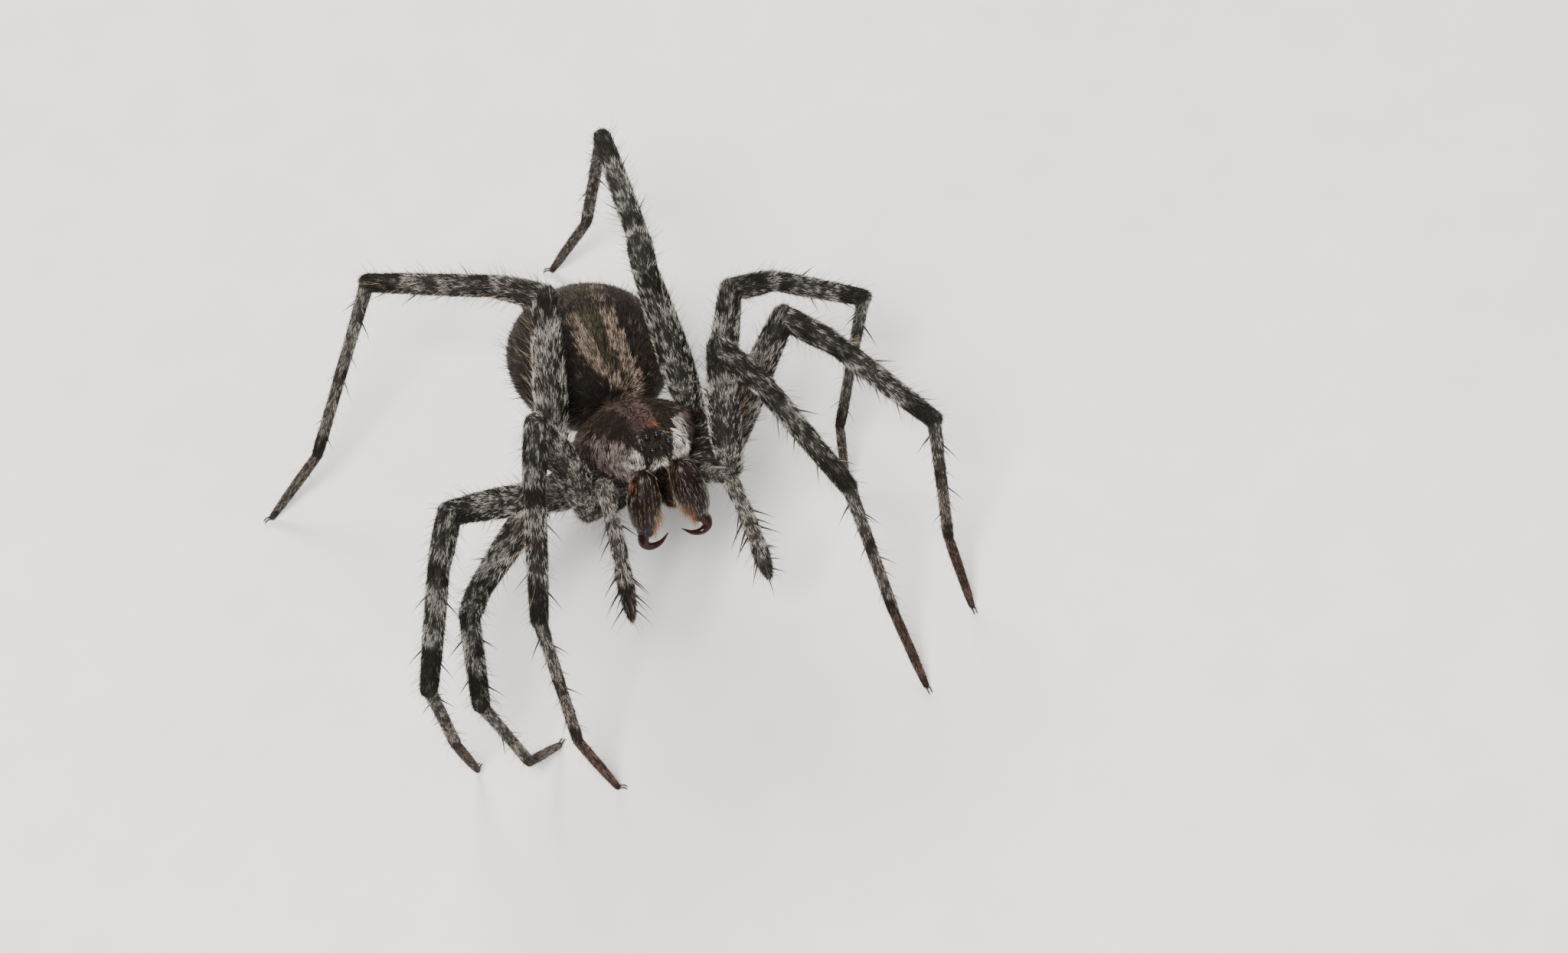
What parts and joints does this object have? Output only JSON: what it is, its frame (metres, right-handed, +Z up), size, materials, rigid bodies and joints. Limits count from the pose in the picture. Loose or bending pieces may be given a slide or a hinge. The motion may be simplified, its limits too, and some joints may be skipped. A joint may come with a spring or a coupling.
{
  "type": "desert grass spider",
  "caption": "Life-size still desert grass spider with a speckled brown body, spiny grey legs, dark jaws and long spinnerets, standing on its feet.",
  "frame": {"origin": "middle of the bounding box's floor face, at the level of the feet", "axes": "+Z up from the floor, -Y the way the head faces, +X the spider's left side"},
  "size_m": [0.024, 0.0274, 0.013],
  "materials": {
    "carapace": "matt cuticle under short hair",
    "abdomen": "matt, short dense hair",
    "legs": "matt, grey hair with dark bands",
    "palps": "matt, pale hair",
    "jaws": "glossy dark red-brown cuticle",
    "fangs": "glossy dark red cuticle",
    "eyes": "wet black",
    "spinnerets": "matt"
  },
  "bodies": {
    "root": {"abdomen": "abdomen", "cephalothorax": "carapace", "chelicera_left": "jaws", "chelicera_right": "jaws", "eye_low_left": "eyes", "eye_low_right": "eyes", "eye_mid_inner_left": "eyes", "eye_mid_inner_right": "eyes", "eye_mid_outer_left": "eyes", "eye_mid_outer_right": "eyes", "eye_top_left": "eyes", "eye_top_right": "eyes", "fang_left": "fangs", "fang_right": "fangs", "leg_1_left_femur": "legs", "leg_1_left_metatarsus": "legs", "leg_1_left_tarsus": "legs", "leg_1_left_tibia": "legs", "leg_1_right_femur": "legs", "leg_1_right_metatarsus": "legs", "leg_1_right_tarsus": "legs", "leg_1_right_tibia": "legs", "leg_2_left_femur": "legs", "leg_2_left_metatarsus": "legs", "leg_2_left_tarsus": "legs", "leg_2_left_tibia": "legs", "leg_2_right_femur": "legs", "leg_2_right_metatarsus": "legs", "leg_2_right_tarsus": "legs", "leg_2_right_tibia": "legs", "leg_3_left_femur": "legs", "leg_3_left_metatarsus": "legs", "leg_3_left_tarsus": "legs", "leg_3_left_tibia": "legs", "leg_3_right_femur": "legs", "leg_3_right_metatarsus": "legs", "leg_3_right_tarsus": "legs", "leg_3_right_tibia": "legs", "leg_4_left_femur": "legs", "leg_4_left_metatarsus": "legs", "leg_4_left_tarsus": "legs", "leg_4_left_tibia": "legs", "leg_4_right_femur": "legs", "leg_4_right_metatarsus": "legs", "leg_4_right_tarsus": "legs", "leg_4_right_tibia": "legs", "palp_left_tip": "palps", "palp_left_upper": "palps", "palp_right_tip": "palps", "palp_right_upper": "palps", "pedicel": "carapace", "spinneret_long_left": "spinnerets", "spinneret_long_right": "spinnerets", "spinneret_short_left": "spinnerets", "spinneret_short_right": "spinnerets"}
  },
  "joints": []
}
